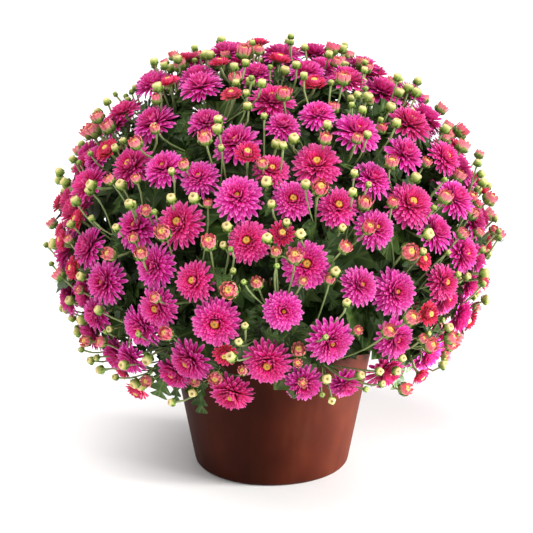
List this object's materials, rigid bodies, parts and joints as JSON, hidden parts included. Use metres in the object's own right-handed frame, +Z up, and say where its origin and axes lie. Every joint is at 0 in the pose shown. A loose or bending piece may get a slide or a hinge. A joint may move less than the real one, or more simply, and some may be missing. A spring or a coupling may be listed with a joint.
{
  "type": "potted chrysanthemum",
  "caption": "Garden chrysanthemum in full flower, a round dome of double blooms, buds and leaves on upright stems in a tapered round nursery pot.",
  "frame": {"origin": "middle of the pot's flat base, on the surface that the pot stands on", "axes": "+Z up along the pot's axis, and -Y towards the side that the picture shows"},
  "size_m": [0.4835, 0.4934, 0.4753],
  "materials": {
    "pot": "satin moulded plastic, terracotta brown",
    "soil": "moist bark and peat mix",
    "petals": "hot magenta petals with paler pink tips and backs",
    "young_petals": "coral red petals that are just opening",
    "buds": "pale cream yellow buds and flower middles",
    "leaf_and_stem": "dark green leaves, with pale green stems and bracts"
  },
  "bodies": {
    "root": {"pot": "pot", "soil": "soil", "flowering_stem_01": "petals", "flowering_stem_02": "petals", "flowering_stem_03": "petals", "flowering_stem_04": "petals", "flowering_stem_05": "petals", "flowering_stem_06": "petals", "flowering_stem_07": "petals", "flowering_stem_08": "petals", "flowering_stem_09": "petals", "flowering_stem_10": "petals", "flowering_stem_11": "petals", "flowering_stem_12": "petals", "flowering_stem_13": "petals", "flowering_stem_14": "petals", "flowering_stem_15": "petals", "flowering_stem_16": "petals", "flowering_stem_17": "petals", "flowering_stem_18": "petals", "flowering_stem_19": "petals", "flowering_stem_20": "petals", "flowering_stem_21": "petals", "flowering_stem_22": "petals", "flowering_stem_23": "petals", "flowering_stem_24": "petals", "flowering_stem_25": "petals", "flowering_stem_26": "petals", "flowering_stem_27": "petals", "flowering_stem_28": "petals", "flowering_stem_29": "petals", "flowering_stem_30": "petals", "flowering_stem_31": "petals", "flowering_stem_32": "petals", "flowering_stem_33": "petals", "flowering_stem_34": "petals", "flowering_stem_35": "petals", "flowering_stem_36": "petals", "flowering_stem_37": "petals", "flowering_stem_38": "petals", "flowering_stem_39": "petals", "flowering_stem_40": "petals", "flowering_stem_41": "petals", "flowering_stem_42": "petals"}
  },
  "joints": []
}
